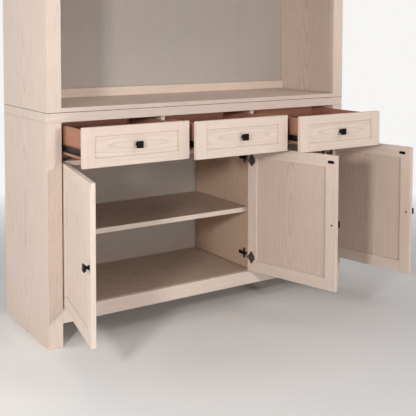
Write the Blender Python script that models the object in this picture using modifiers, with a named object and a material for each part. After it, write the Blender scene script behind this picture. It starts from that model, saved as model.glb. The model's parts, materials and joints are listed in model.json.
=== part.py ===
"""Hutch cabinet: an open hutch standing on a base with three drawers over three doors.

The cabinet's own frame has x along the front from the left end's outer face, y from the
front plane into the cabinet, and z up from the floor. The empty "cabinet" puts it in the
world, so that the origin lies on the floor under the middle of the left end panel.
"""

import math

import bmesh
import bpy
from mathutils import Matrix, Vector

# Overall sizes, in metres
WIDTH = 1.506
DEPTH = 0.476
BASE_HEIGHT = 0.914
TOTAL_HEIGHT = 1.981

# Clearances
FIT = 0.0003
FRONT_GAP = 0.003
EDGE_BEVEL = 0.0008
FRONT_BEVEL = 0.0012
CUTTER_MARGIN = 0.010
WELD = 0.00001
BEVEL_ANGLE = math.radians(40)

# Ends of the base and the hutch
END_THICKNESS = 0.019
STILE_WIDTH = 0.0576
STILE_THICKNESS = 0.022
LINING_THICKNESS = 0.018
BACK_THICKNESS = 0.006

# Base carcass
TOP_THICKNESS = 0.0372
BOTTOM_RAIL_LOW = 0.0932
BOTTOM_RAIL_HIGH = 0.1513
DECK_THICKNESS = 0.018
DIVIDER_THICKNESS = 0.0186
CARCASS_SETBACK = 0.0227
MID_RAIL_THICKNESS = 0.0186
MID_RAIL_DEPTH = 0.080
SHELF_ABOVE_DECK = 0.2822
SHELF_THICKNESS = 0.0208
SHELF_SETBACK = 0.0427
SHELF_SIDE_GAP = 0.0006
PIN_HOLE_RADIUS = 0.0025
PIN_HOLE_DEPTH = 0.008
PIN_HOLE_PITCH = 0.0635
PIN_HOLE_BELOW_SHELF_TOP = 0.005
PIN_HOLE_COLUMN_INSET = 0.054

# Hutch
HUTCH_DECK_THICKNESS = 0.0174
HUTCH_BACK_SETBACK = 0.0324
HUTCH_RAIL_THICKNESS = 0.019
HUTCH_RAIL_HEIGHT = 0.0408
HUTCH_SHELF_ABOVE_DECK = 0.5183
HUTCH_SHELF_THICKNESS = 0.019
HUTCH_SHELF_SETBACK = 0.022

# Drawer fronts and doors
FRONT_THICKNESS = 0.0185
DRAWER_FRONT_HEIGHT = 0.1512
FRAME_STILE = 0.051
DRAWER_FRAME_RAIL = 0.036
DOOR_FRAME_RAIL = 0.051
PANEL_RECESS = 0.006
PANEL_BACK_RECESS = 0.006
RECESS_SLOPE = 0.0015

# Drawer boxes and slides
BOX_ABOVE_FRONT_EDGE = 0.0289
BOX_HEIGHT = 0.1105
BOX_LENGTH = 0.424
BOX_WALL = 0.012
BOX_BOTTOM_THICKNESS = 0.006
BOX_BOTTOM_LIFT = 0.008
SLIDE_SPACE = 0.0127
SLIDE_HEIGHT = 0.035
SLIDE_DRAWER_HEIGHT = 0.025
SLIDE_ABOVE_BOX_EDGE = 0.0265
SLIDE_STEEL = 0.0012
SLIDE_SETBACK = 0.002
SLIDE_CABINET_LENGTH = 0.430
SLIDE_DRAWER_LENGTH = 0.410
SLIDE_CABINET_WIDTH = 0.0095
SLIDE_DRAWER_FLANGE = 0.0082
DRAWER_1_PULL = 0.185
DRAWER_2_PULL = 0.231
DRAWER_3_PULL = 0.310

# Door hinges
HINGE_FROM_DOOR_END = 0.0635
CUP_CENTRE = 0.0225
CUP_RADIUS = 0.0175
CUP_WALL = 0.001
CUP_DEPTH = 0.0135
CUP_FLANGE_THICKNESS = 0.0012
CUP_FLANGE_HEIGHT = 0.052
CUP_EAR_WIDTH = 0.014
CUP_EAR_CHAMFER = 0.003
CUP_FLANGE_MARGIN = 0.001
CUP_SIDES = 28
CUP_ARC_STEPS = 10
PLATE_THICKNESS = 0.0025
PLATE_NEAR = 0.0215
PLATE_LENGTH = 0.062
PLATE_WIDTH = 0.014
PLATE_WING_HEIGHT = 0.046
PLATE_WING_WIDTH = 0.012
PLATE_WING_FROM_NEAR = 0.018
PLATE_WING_STEP = 0.0003
PLATE_BEVEL = 0.0008
ARM_WIDTH = 0.012
ARM_HEIGHT = 0.008
ARM_LENGTH = 0.066
ARM_NEAR = 0.0100
ARM_BEVEL = 0.0015
NECK_WIDTH = 0.009
NECK_THICKNESS = 0.0012
NECK_RADIUS = 0.0163
NECK_ARC_STEPS = 8
PIN_RADIUS = 0.0012
PIN_SIDES = 16
DOOR_SWINGS = (101.7, 105.0, 101.7)
PIVOT_FROM_EDGE = 0.0115

# Linked hinges of door 2: places from the closed hinge edge and from the door's back face
LINKED_DOOR = 2
LINK_TURN = 79.5
ARM_PIN_FROM_EDGE = 0.0297
ARM_PIN_FROM_BACK = -0.0001
CUP_PIN_FROM_EDGE = 0.0085
CUP_PIN_FROM_BACK = -0.0030
LINK_BEND_FROM_ARM_PIN = 0.0107
LINK_BEND_FROM_CUP_PIN = 0.0003
LINK_BEND_FROM_BACK = -0.0092
LINK_THICKNESS = 0.0018
LINK_EYE_RADIUS = 0.0018
CHEEK_THICKNESS = 0.0015
CHEEK_WIDTH = 0.0036
CHEEK_KNEE_FROM_EDGE = 0.0250
CHEEK_KNEE_FROM_BACK = 0.0070
CHEEK_ROOT_FROM_NEAR = 0.0035

# Knobs
KNOB_WIDTH = 0.0315
KNOB_HEIGHT = 0.0285
KNOB_HEAD_THICKNESS = 0.010
KNOB_REAR_WIDTH = 0.0195
KNOB_REAR_HEIGHT = 0.0177
KNOB_BEVEL = 0.0015
KNOB_NECK_RADIUS = 0.006
KNOB_FOOT_RADIUS = 0.0085
KNOB_FOOT_THICKNESS = 0.002
KNOB_FOOT_SLOPE = 0.003
KNOB_SIDES = 24
DRAWER_KNOB_REACH = 0.021
DOOR_KNOB_REACH = 0.022
DOOR_KNOB_BELOW_MIDDLE = 0.007
DOOR_KNOB_FROM_FREE_EDGE = 0.020

# Sizes that follow from the ones above
TOP_LOW = BASE_HEIGHT - TOP_THICKNESS
DECK_TOP = BOTTOM_RAIL_HIGH
BACK_FACE = DEPTH - BACK_THICKNESS
OPENING_LEFT = STILE_WIDTH
OPENING_RIGHT = WIDTH - STILE_WIDTH
FRONT_WIDTH = (OPENING_RIGHT - OPENING_LEFT - 4 * FRONT_GAP) / 3
DRAWER_FRONT_HIGH = TOP_LOW - FRONT_GAP
DRAWER_FRONT_LOW = DRAWER_FRONT_HIGH - DRAWER_FRONT_HEIGHT
DOOR_HIGH = DRAWER_FRONT_LOW - FRONT_GAP
DOOR_LOW = BOTTOM_RAIL_HIGH + FRONT_GAP
MID_RAIL_HIGH = DRAWER_FRONT_LOW - FIT
MID_RAIL_LOW = MID_RAIL_HIGH - MID_RAIL_THICKNESS
SHELF_TOP = DECK_TOP + SHELF_ABOVE_DECK
BOX_LOW = DRAWER_FRONT_LOW + BOX_ABOVE_FRONT_EDGE
SLIDE_CENTRE = BOX_LOW + SLIDE_ABOVE_BOX_EDGE
DRAWER_PULLS = (DRAWER_1_PULL, DRAWER_2_PULL, DRAWER_3_PULL)
CUP_FLOOR = FRONT_THICKNESS - CUP_DEPTH + CUP_WALL
PIVOT_DEPTH = CUP_FLOOR + FIT + PIN_RADIUS
HUTCH_LOW = BASE_HEIGHT + FIT
HUTCH_DECK_TOP = HUTCH_LOW + HUTCH_DECK_THICKNESS
HUTCH_SHELF_TOP = HUTCH_DECK_TOP + HUTCH_SHELF_ABOVE_DECK
HUTCH_TOP_LOW = TOTAL_HEIGHT - TOP_THICKNESS
HUTCH_BACK_REAR = DEPTH - HUTCH_BACK_SETBACK + BACK_THICKNESS


def front_left(number):
    """Left edge of the drawer front and door of bay 1, 2 or 3."""
    return OPENING_LEFT + FRONT_GAP + (number - 1) * (FRONT_WIDTH + FRONT_GAP)


def divider_left(number):
    """Left face of the upright behind the gap between fronts NUMBER and NUMBER + 1."""
    gap_centre = front_left(number + 1) - FRONT_GAP / 2
    return gap_centre - DIVIDER_THICKNESS / 2


def bay(number):
    """Left and right inner faces of the drawer bay."""
    left = OPENING_LEFT if number == 1 else divider_left(number - 1) + DIVIDER_THICKNESS
    right = OPENING_RIGHT if number == 3 else divider_left(number)
    return left, right


# Scene, collections and materials


def clear_scene():
    for old in list(bpy.data.objects):
        bpy.data.objects.remove(old, do_unlink=True)


def new_collection(name):
    collection = bpy.data.collections.new(name)
    bpy.context.scene.collection.children.link(collection)
    return collection


def new_material(name, colour, roughness, metallic=0.0):
    material = bpy.data.materials.new(name)
    material.use_nodes = True
    shader = material.node_tree.nodes["Principled BSDF"]
    shader.inputs["Base Color"].default_value = (*colour, 1.0)
    shader.inputs["Roughness"].default_value = roughness
    shader.inputs["Metallic"].default_value = metallic
    return material


clear_scene()
PARTS = new_collection("hutch_cabinet")
CUTTERS = new_collection("cutters")
PALE_WOOD = (0.62, 0.51, 0.43)
INNER_WOOD = (0.34, 0.26, 0.21)
BOX_WOOD = (0.42, 0.24, 0.18)
DARK_STEEL = (0.035, 0.035, 0.033)
BLACK_METAL = (0.012, 0.012, 0.013)


def wood(name, colour=PALE_WOOD):
    return new_material(name + "_wood", colour, 0.6)


def steel(name):
    return new_material(name + "_steel", DARK_STEEL, 0.4, 0.9)


# Building blocks


def new_object(name, data, collection):
    thing = bpy.data.objects.new(name, data)
    collection.objects.link(thing)
    return thing


def empty(name, location, parent=None, turn=0.0):
    thing = new_object(name, None, PARTS)
    thing.location = location
    thing.rotation_euler = (0.0, 0.0, turn)
    thing.parent = parent
    return thing


def box_mesh(name, size, taper=None):
    """A cube primitive scaled to size. Taper grows the end at low y by that much each side."""
    mesh = bpy.data.meshes.new(name)
    shape = bmesh.new()
    bmesh.ops.create_cube(shape, size=1.0)
    bmesh.ops.scale(shape, vec=Vector(size), verts=shape.verts)
    if taper:
        near = [v for v in shape.verts if v.co.y < 0]
        growth = Vector((1 + 2 * taper / size[0], 1.0, 1 + 2 * taper / size[2]))
        bmesh.ops.scale(shape, vec=growth, verts=near)
    shape.to_mesh(mesh)
    shape.free()
    return mesh


def box(name, low, high, parent, material, bevel=EDGE_BEVEL, collection=None):
    """A board or block between two corners given in its parent's frame."""
    low = Vector(low)
    high = Vector(high)
    thing = new_object(name, box_mesh(name, high - low), collection or PARTS)
    thing.location = (low + high) / 2
    thing.parent = parent
    if material:
        thing.data.materials.append(material)
    if bevel:
        add_bevel(thing, bevel)
    return thing


def add_bevel(thing, width, segments=1):
    bevel = thing.modifiers.new("eased edges", "BEVEL")
    bevel.width = width
    bevel.segments = segments
    bevel.limit_method = "ANGLE"
    bevel.angle_limit = BEVEL_ANGLE
    return bevel


def as_cutter(thing):
    thing.hide_render = True
    thing.display_type = "WIRE"
    return thing


def cut(thing, cutter, operation="DIFFERENCE"):
    change = thing.modifiers.new(cutter.name, "BOOLEAN")
    change.operation = operation
    change.solver = "EXACT"
    change.object = as_cutter(cutter)


def outline_object(name, points, depth, location, turn, parent, material, collection=None):
    """A flat outline filled on both sides and extruded by depth, centred on location."""
    curve = bpy.data.curves.new(name, "CURVE")
    curve.dimensions = "2D"
    curve.fill_mode = "BOTH"
    curve.extrude = depth / 2
    spline = curve.splines.new("POLY")
    spline.points.add(len(points) - 1)
    for point, (a, b) in zip(spline.points, points):
        point.co = (a, b, 0.0, 1.0)
    spline.use_cyclic_u = True
    thing = new_object(name, curve, collection or PARTS)
    thing.location = location
    thing.rotation_euler = turn
    thing.parent = parent
    if material:
        curve.materials.append(material)
    return thing


def outline_mesh(name, points, depth, location, turn, parent, material, collection=None):
    """The same as a mesh with welded caps, for a shape that is cut or joined later."""
    source = outline_object(name + "_outline", points, depth, location, turn, parent, material)
    bpy.context.view_layer.update()
    graph = bpy.context.evaluated_depsgraph_get()
    mesh = bpy.data.meshes.new_from_object(source.evaluated_get(graph))
    shape = bmesh.new()
    shape.from_mesh(mesh)
    bmesh.ops.remove_doubles(shape, verts=shape.verts, dist=WELD)
    shape.to_mesh(mesh)
    shape.free()
    thing = new_object(name, mesh, collection or PARTS)
    thing.location = location
    thing.rotation_euler = turn
    thing.parent = parent
    curve = source.data
    bpy.data.objects.remove(source, do_unlink=True)
    bpy.data.curves.remove(curve)
    return thing


ALONG_X = (0.0, math.radians(90), 0.0)
ALONG_Y = (math.radians(90), 0.0, 0.0)
ALONG_Z = (0.0, 0.0, 0.0)


def arc(radius, start, stop, steps):
    """Points of an arc about the origin, its angles in radians."""
    angles = [start + (stop - start) * step / steps for step in range(steps + 1)]
    return [(radius * math.cos(angle), radius * math.sin(angle)) for angle in angles]


def circle(radius, centre=(0.0, 0.0), first=0.0):
    """Outline of a round pin or hole, its first point at the angle given."""
    last = first + math.tau * (PIN_SIDES - 1) / PIN_SIDES
    points = arc(radius, first, last, PIN_SIDES - 1)
    return [(centre[0] + a, centre[1] + b) for a, b in points]


# The whole cabinet stands on this empty
CABINET = empty("cabinet", (-END_THICKNESS / 2, -DEPTH / 2, 0.0))


# Ends: panel, face stile and, in the base, the lining that carries slides and hinges


def mirrored_x(points):
    """Points of the right end from those of the left, kept counter-clockwise."""
    return [(WIDTH - a, b) for a, b in reversed(points)]


def base_end_outline():
    lining = STILE_WIDTH - LINING_THICKNESS
    lining_rear = BACK_FACE - FIT
    return [(0, 0), (STILE_WIDTH, 0), (STILE_WIDTH, lining_rear), (lining, lining_rear),
            (lining, STILE_THICKNESS), (END_THICKNESS, STILE_THICKNESS),
            (END_THICKNESS, DEPTH), (0, DEPTH)]


def hutch_end_outline():
    return [(0, 0), (STILE_WIDTH, 0), (STILE_WIDTH, STILE_THICKNESS),
            (END_THICKNESS, STILE_THICKNESS), (END_THICKNESS, DEPTH), (0, DEPTH)]


def build_end(name, points, low, high, outline=outline_object):
    return outline(name, points, high - low, (0, 0, (low + high) / 2), ALONG_Z, CABINET,
                   wood(name))


def build_ends():
    base_high = TOP_LOW - FIT
    hutch_high = HUTCH_TOP_LOW - FIT
    left = build_end("base_end_left", base_end_outline(), 0.0, base_high, outline_mesh)
    right = build_end("base_end_right", mirrored_x(base_end_outline()), 0.0, base_high,
                      outline_mesh)
    drill_pin_holes(left, OPENING_LEFT, -1)
    drill_pin_holes(right, OPENING_RIGHT, 1)
    build_end("hutch_end_left", hutch_end_outline(), HUTCH_LOW, hutch_high)
    build_end("hutch_end_right", mirrored_x(hutch_end_outline()), HUTCH_LOW, hutch_high)


def drill_pin_holes(thing, face, inward):
    """Two columns of three holes for shelf pins, from the face at x = face along inward."""
    middle = SHELF_TOP - PIN_HOLE_BELOW_SHELF_TOP
    side = "right" if inward > 0 else "left"
    columns = (("front", PIN_HOLE_COLUMN_INSET), ("rear", BACK_FACE - PIN_HOLE_COLUMN_INSET))
    for column, y in columns:
        for row in (-1, 0, 1):
            centre = (face, y, middle + row * PIN_HOLE_PITCH)
            name = f"{thing.name}_{side}_{column}_hole_{row + 2}"
            cut(thing, outline_mesh(name, circle(PIN_HOLE_RADIUS), 2 * PIN_HOLE_DEPTH, centre,
                                    ALONG_X, CABINET, None, CUTTERS))


# Base carcass


def build_base_top():
    box("base_top", (0, 0, TOP_LOW), (WIDTH, DEPTH, BASE_HEIGHT), CABINET, wood("base_top"))


def build_bottom_rail():
    box("bottom_rail", (OPENING_LEFT + FIT, 0, BOTTOM_RAIL_LOW),
        (OPENING_RIGHT - FIT, STILE_THICKNESS, BOTTOM_RAIL_HIGH), CABINET, wood("bottom_rail"))


def build_deck():
    box("deck", (OPENING_LEFT + FIT, STILE_THICKNESS + FIT, DECK_TOP - DECK_THICKNESS),
        (OPENING_RIGHT - FIT, BACK_FACE - FIT, DECK_TOP), CABINET,
        wood("deck", INNER_WOOD))


def build_mid_rail():
    """Rail under the drawers, let into a notch in the partition."""
    box("mid_rail", (OPENING_LEFT + FIT, CARCASS_SETBACK, MID_RAIL_LOW),
        (OPENING_RIGHT - FIT, CARCASS_SETBACK + MID_RAIL_DEPTH, MID_RAIL_HIGH), CABINET,
        wood("mid_rail"))


def build_divider():
    """Upright between the first two drawers, standing on the mid rail."""
    left = divider_left(1)
    box("drawer_divider", (left, CARCASS_SETBACK, MID_RAIL_HIGH + FIT),
        (left + DIVIDER_THICKNESS, BACK_FACE - FIT, TOP_LOW - FIT), CABINET,
        wood("drawer_divider"))


def build_partition():
    """Full-height upright between the double bay and the right bay."""
    left = divider_left(2)
    thing = box("partition", (left, CARCASS_SETBACK, DECK_TOP + FIT),
                (left + DIVIDER_THICKNESS, BACK_FACE - FIT, TOP_LOW - FIT), CABINET,
                wood("partition"))
    notch_low = (left - CUTTER_MARGIN, CARCASS_SETBACK - CUTTER_MARGIN, MID_RAIL_LOW - FIT)
    notch_high = (left + DIVIDER_THICKNESS + CUTTER_MARGIN,
                  CARCASS_SETBACK + MID_RAIL_DEPTH + FIT, MID_RAIL_HIGH + FIT)
    notch = box("partition_notch", notch_low, notch_high, CABINET, None, bevel=None,
                collection=CUTTERS)
    cut(thing, notch)
    drill_pin_holes(thing, left, 1)
    drill_pin_holes(thing, left + DIVIDER_THICKNESS, -1)


def build_back():
    box("base_back", (END_THICKNESS + FIT, BACK_FACE, BOTTOM_RAIL_LOW),
        (WIDTH - END_THICKNESS - FIT, DEPTH, TOP_LOW - FIT), CABINET,
        wood("base_back", INNER_WOOD), bevel=None)


def build_shelves():
    right_bay = bay(3)
    spans = (("shelf_left", OPENING_LEFT, divider_left(2)), ("shelf_right", *right_bay))
    for name, left, right in spans:
        box(name, (left + SHELF_SIDE_GAP, SHELF_SETBACK, SHELF_TOP - SHELF_THICKNESS),
            (right - SHELF_SIDE_GAP, BACK_FACE - SHELF_SIDE_GAP, SHELF_TOP), CABINET,
            wood(name, INNER_WOOD))


# Hutch


def build_hutch():
    inner_left = END_THICKNESS + FIT
    inner_right = WIDTH - END_THICKNESS - FIT
    stile_back = STILE_THICKNESS + FIT
    deck_outline = [(OPENING_LEFT + FIT, 0), (OPENING_RIGHT - FIT, 0),
                    (OPENING_RIGHT - FIT, stile_back), (inner_right, stile_back),
                    (inner_right, DEPTH), (inner_left, DEPTH), (inner_left, stile_back),
                    (OPENING_LEFT + FIT, stile_back)]
    outline_object("hutch_deck", deck_outline, HUTCH_DECK_THICKNESS,
                   (0, 0, HUTCH_LOW + HUTCH_DECK_THICKNESS / 2), ALONG_Z, CABINET,
                   wood("hutch_deck"))
    panel_front = HUTCH_BACK_REAR - BACK_THICKNESS
    rail_low = HUTCH_DECK_TOP + FIT
    box("hutch_back", (inner_left, panel_front, rail_low),
        (inner_right, HUTCH_BACK_REAR, HUTCH_TOP_LOW - FIT), CABINET, wood("hutch_back"),
        bevel=None)
    box("hutch_back_rail", (inner_left, panel_front - FIT - HUTCH_RAIL_THICKNESS, rail_low),
        (inner_right, panel_front - FIT, HUTCH_DECK_TOP + HUTCH_RAIL_HEIGHT), CABINET,
        wood("hutch_back_rail"))
    box("hutch_shelf", (inner_left, HUTCH_SHELF_SETBACK + FIT,
                        HUTCH_SHELF_TOP - HUTCH_SHELF_THICKNESS),
        (inner_right, panel_front - FIT, HUTCH_SHELF_TOP), CABINET, wood("hutch_shelf"))
    box("hutch_top", (0, 0, HUTCH_TOP_LOW), (WIDTH, DEPTH, TOTAL_HEIGHT), CABINET,
        wood("hutch_top"))


# Framed fronts


def recess(name, width, height, stile, rail, face, depth, parent, centre):
    """Cutter for a flat recessed panel, with sloped sides, on the face at local y = face."""
    slope = RECESS_SLOPE * (depth + CUTTER_MARGIN) / depth
    size = Vector((width - 2 * stile, depth + CUTTER_MARGIN, height - 2 * rail))
    mesh = box_mesh(name, size, taper=slope)
    thing = new_object(name, mesh, CUTTERS)
    toward = 1 if face < centre[1] else -1
    thing.location = (centre[0], face + toward * (depth - CUTTER_MARGIN) / 2, centre[2])
    if toward < 0:
        thing.rotation_euler = (0.0, 0.0, math.pi)
    thing.parent = parent
    return thing


def build_front(name, left, low, high, rail, parent, has_back_recess):
    """A five-piece front between local x = left and left + FRONT_WIDTH, its face at y = 0."""
    height = high - low
    thing = box(name, (left, 0, low), (left + FRONT_WIDTH, FRONT_THICKNESS, high), parent,
                wood(name), bevel=FRONT_BEVEL)
    centre = (left + FRONT_WIDTH / 2, FRONT_THICKNESS / 2, (low + high) / 2)
    cut(thing, recess(name + "_recess", FRONT_WIDTH, height, FRAME_STILE, rail, 0.0,
                      PANEL_RECESS, parent, centre))
    if has_back_recess:
        cut(thing, recess(name + "_back_recess", FRONT_WIDTH, height, FRAME_STILE, rail,
                          FRONT_THICKNESS, PANEL_BACK_RECESS, parent, centre))
    return thing


def build_knob(name, x, z, reach, parent):
    """A flat rectangular head that flares from a waisted neck, standing on local y = 0."""
    head_back = reach - KNOB_HEAD_THICKNESS
    foot_top = FIT + KNOB_FOOT_THICKNESS
    profile = [(KNOB_NECK_RADIUS, -head_back - KNOB_HEAD_THICKNESS / 2),
               (KNOB_NECK_RADIUS, -foot_top - KNOB_FOOT_SLOPE),
               (KNOB_FOOT_RADIUS, -foot_top), (KNOB_FOOT_RADIUS, -FIT)]
    neck = turned(name + "_neck", profile, KNOB_SIDES, (x, 0.0, z), parent)
    mesh = box_mesh(name, (KNOB_WIDTH, KNOB_HEAD_THICKNESS, KNOB_HEIGHT))
    thing = new_object(name, mesh, PARTS)
    shape = bmesh.new()
    shape.from_mesh(mesh)
    rear = [v for v in shape.verts if v.co.y > 0]
    narrowed = Vector((KNOB_REAR_WIDTH / KNOB_WIDTH, 1.0, KNOB_REAR_HEIGHT / KNOB_HEIGHT))
    bmesh.ops.scale(shape, vec=narrowed, verts=rear)
    shape.to_mesh(mesh)
    shape.free()
    thing.location = (x, -head_back - KNOB_HEAD_THICKNESS / 2, z)
    thing.parent = parent
    mesh.materials.append(new_material(name + "_metal", BLACK_METAL, 0.35, 0.8))
    add_bevel(thing, KNOB_BEVEL, 2)
    cut(thing, neck, "UNION")
    return thing


def turned(name, profile, steps, location, parent):
    """A cutter or joined piece turned about y, from (radius, y) pairs that run to the rear."""
    mesh = bpy.data.meshes.new(name)
    shape = bmesh.new()
    points = [(0.0, profile[0][1])] + list(profile) + [(0.0, profile[-1][1])]
    verts = [shape.verts.new((radius, 0.0, -depth)) for radius, depth in points]
    for a, b in zip(verts, verts[1:]):
        shape.edges.new((a, b))
    shape.to_mesh(mesh)
    shape.free()
    thing = new_object(name, mesh, CUTTERS)
    screw = thing.modifiers.new("turned", "SCREW")
    screw.axis = "Z"
    screw.steps = steps
    screw.render_steps = steps
    screw.use_merge_vertices = True
    screw.merge_threshold = WELD
    thing.location = location
    thing.rotation_euler = (math.radians(90), 0.0, 0.0)
    thing.parent = parent
    return as_cutter(thing)


# Drawers


def slide_outline(face, side, drawer_member):
    """Section of a slide member in x and z. Side is 1 where the drawer lies at higher x."""
    if drawer_member:
        half = SLIDE_DRAWER_HEIGHT / 2
        web = SLIDE_SPACE - FIT
        lip = web - SLIDE_STEEL - SLIDE_DRAWER_FLANGE
        inner = half - 2 * SLIDE_STEEL
        across = [(web, -half), (web, half), (lip, half), (lip, inner),
                  (web - SLIDE_STEEL, inner), (web - SLIDE_STEEL, -inner),
                  (lip, -inner), (lip, -half)]
    else:
        half = SLIDE_HEIGHT / 2
        race = SLIDE_DRAWER_HEIGHT / 2 + FIT
        web = FIT
        across = [(web, -half), (SLIDE_CABINET_WIDTH, -half), (SLIDE_CABINET_WIDTH, -race),
                  (web + SLIDE_STEEL, -race), (web + SLIDE_STEEL, race),
                  (SLIDE_CABINET_WIDTH, race), (SLIDE_CABINET_WIDTH, half), (web, half)]
    points = [(face + side * a, b) for a, b in across]
    return points if side > 0 else list(reversed(points))


def build_slides(number, parent):
    left, right = bay(number)
    start = CARCASS_SETBACK + SLIDE_SETBACK
    for label, face, side in (("left", left, 1), ("right", right, -1)):
        name = f"drawer_{number}_slide_{label}"
        outline_object(name + "_cabinet", slide_outline(face, side, False),
                       SLIDE_CABINET_LENGTH, (0, start + SLIDE_CABINET_LENGTH / 2,
                                              SLIDE_CENTRE), ALONG_Y, CABINET,
                       steel(name + "_cabinet"))
        outline_object(name + "_drawer", slide_outline(face, side, True),
                       SLIDE_DRAWER_LENGTH, (0, start + SLIDE_DRAWER_LENGTH / 2,
                                             SLIDE_CENTRE), ALONG_Y, parent,
                       steel(name + "_drawer"))


def build_box(number, parent):
    left, right = bay(number)
    x0 = left + SLIDE_SPACE
    x1 = right - SLIDE_SPACE
    y0 = FRONT_THICKNESS + FIT
    y1 = y0 + BOX_LENGTH
    name = f"drawer_{number}_box"
    thing = box(name, (x0, y0, BOX_LOW), (x1, y1, BOX_LOW + BOX_HEIGHT), parent,
                wood(name, BOX_WOOD))
    floor_low = BOX_LOW + BOX_BOTTOM_LIFT
    floor_high = floor_low + BOX_BOTTOM_THICKNESS
    inside = ((x0 + BOX_WALL, y0 + BOX_WALL), (x1 - BOX_WALL, y1 - BOX_WALL))
    for label, low, high in (("well", floor_high, BOX_LOW + BOX_HEIGHT + CUTTER_MARGIN),
                             ("under", BOX_LOW - CUTTER_MARGIN, floor_low)):
        cut(thing, box(f"{name}_{label}", (*inside[0], low), (*inside[1], high), parent,
                       None, bevel=None, collection=CUTTERS))


def build_drawer(number):
    parent = empty(f"drawer_{number}_slide", (0, -DRAWER_PULLS[number - 1], 0), CABINET)
    left = front_left(number)
    build_front(f"drawer_{number}_front", left, DRAWER_FRONT_LOW, DRAWER_FRONT_HIGH,
                DRAWER_FRAME_RAIL, parent, False)
    build_box(number, parent)
    build_slides(number, parent)
    seat = empty(f"drawer_{number}_knob_seat", (0, PANEL_RECESS, 0), parent)
    build_knob(f"drawer_{number}_knob", left + FRONT_WIDTH / 2,
               (DRAWER_FRONT_LOW + DRAWER_FRONT_HIGH) / 2, DRAWER_KNOB_REACH, seat)


# Doors and hinges. Hinge sizes run from the door's closed hinge edge toward its free edge.


HINGE_SIDES = (1, -1, -1)


def hinge_edge(number):
    left = front_left(number)
    return left if HINGE_SIDES[number - 1] > 0 else left + FRONT_WIDTH


def mount_face(number):
    """Cabinet face that carries the mounting plates of a door's hinges."""
    return (OPENING_LEFT, divider_left(2), OPENING_RIGHT)[number - 1]


def hinge_heights():
    return (("lower", DOOR_LOW + HINGE_FROM_DOOR_END), ("upper", DOOR_HIGH - HINGE_FROM_DOOR_END))


def flange_outline():
    """A disc with two screw ears above and below."""
    high = CUP_FLANGE_HEIGHT / 2
    ear = CUP_EAR_WIDTH / 2
    radius = CUP_RADIUS + CUP_FLANGE_MARGIN
    away = math.acos(ear / radius)
    points = []
    for side in (1, -1):
        points += [(side * a, side * b) for a, b in arc(radius, -away, away, CUP_ARC_STEPS)]
        points += [(side * ear, side * (high - CUP_EAR_CHAMFER)),
                   (side * (ear - CUP_EAR_CHAMFER), side * high),
                   (-side * (ear - CUP_EAR_CHAMFER), side * high),
                   (-side * ear, side * (high - CUP_EAR_CHAMFER))]
    return points


def build_cup(name, x, z, parent):
    """Flange on the door's back with a round dish let into the door."""
    back = FRONT_THICKNESS
    flange_middle = back + FIT + CUP_FLANGE_THICKNESS / 2
    thing = outline_mesh(name, flange_outline(), CUP_FLANGE_THICKNESS, (x, flange_middle, z),
                         ALONG_Y, parent, None)
    thing.data.materials.append(steel(name))
    inner = CUP_RADIUS - CUP_WALL
    dish = [(CUP_RADIUS, back - CUP_DEPTH), (CUP_RADIUS, flange_middle)]
    hollow = [(inner, CUP_FLOOR), (inner, back + CUTTER_MARGIN)]
    cut(thing, turned(name + "_dish", dish, CUP_SIDES, (x, 0.0, z), parent), "UNION")
    cut(thing, turned(name + "_hollow", hollow, CUP_SIDES, (x, 0.0, z), parent))
    return thing


def cup_bore(name, x, z, parent):
    profile = [(CUP_RADIUS + FIT, FRONT_THICKNESS - CUP_DEPTH - FIT),
               (CUP_RADIUS + FIT, FRONT_THICKNESS + CUTTER_MARGIN)]
    return turned(name, profile, CUP_SIDES, (x, 0.0, z), parent)


def neck_outline(number):
    """Bent strip from the arm's nose, round the door's moving edge, to the pin in the cup.

    Its points run from the pin at (0, 0), toward the free edge and into the cabinet.
    """
    half = NECK_THICKNESS / 2
    outer = NECK_RADIUS + half
    inner = NECK_RADIUS - half
    nose_toward = arm_top(number) - PIVOT_FROM_EDGE - ARM_HEIGHT / 2
    nose_depth = FRONT_THICKNESS + ARM_NEAR - PIVOT_DEPTH
    bend = math.atan2(nose_depth, nose_toward)
    along = Vector((math.cos(bend), math.sin(bend)))
    across = Vector((-along.y, along.x)) * half
    sunk = along * (math.hypot(nose_toward, nose_depth) + 2 * half)
    end = [tuple(sunk - across), tuple(sunk + across)]
    turn_out = math.asin(half / outer)
    turn_in = math.asin(half / inner)
    ends_out = bend - turn_out
    ends_in = bend + turn_in
    outer_arc = arc(outer, -turn_out, ends_out, NECK_ARC_STEPS)
    inner_arc = arc(inner, ends_in, turn_in, NECK_ARC_STEPS)
    return [(0.0, -half)] + outer_arc + end + inner_arc + [(0.0, half)]


def arm_top(number):
    """How far the arm's upper face lies from the door's closed hinge edge."""
    side = HINGE_SIDES[number - 1]
    return (mount_face(number) - hinge_edge(number)) * side + FIT + PLATE_THICKNESS + ARM_HEIGHT


def pin_half_length(from_edge):
    """The pin reaches across the cup, to a running gap at its round wall."""
    inner = CUP_RADIUS - CUP_WALL
    offset = CUP_CENTRE - from_edge + PIN_RADIUS
    return math.sqrt(inner ** 2 - offset ** 2) - FIT


def strip_outline(points, width, end_steps=1):
    """A bent strip of even width along the points, with mitred corners.

    More than one end step rounds its last end about the last point.
    """
    points = [Vector(point) for point in points]
    left = []
    right = []
    for index, point in enumerate(points):
        before = points[max(index - 1, 0)]
        after = points[min(index + 1, len(points) - 1)]
        sides = [Vector((b.y - a.y, a.x - b.x)).normalized()
                 for a, b in ((before, point), (point, after)) if (b - a).length > 0]
        middle = sum(sides, Vector((0.0, 0.0))).normalized()
        reach = width / 2 / middle.dot(sides[0])
        left.append(tuple(point - middle * reach))
        right.append(tuple(point + middle * reach))
    centre = points[-1]
    across = Vector(left[-1]) - centre
    turns = [math.pi * step / end_steps for step in range(1, end_steps)]
    end = [tuple(centre + Matrix.Rotation(-turn, 2) @ across) for turn in turns]
    return left + end + right[::-1]


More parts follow.
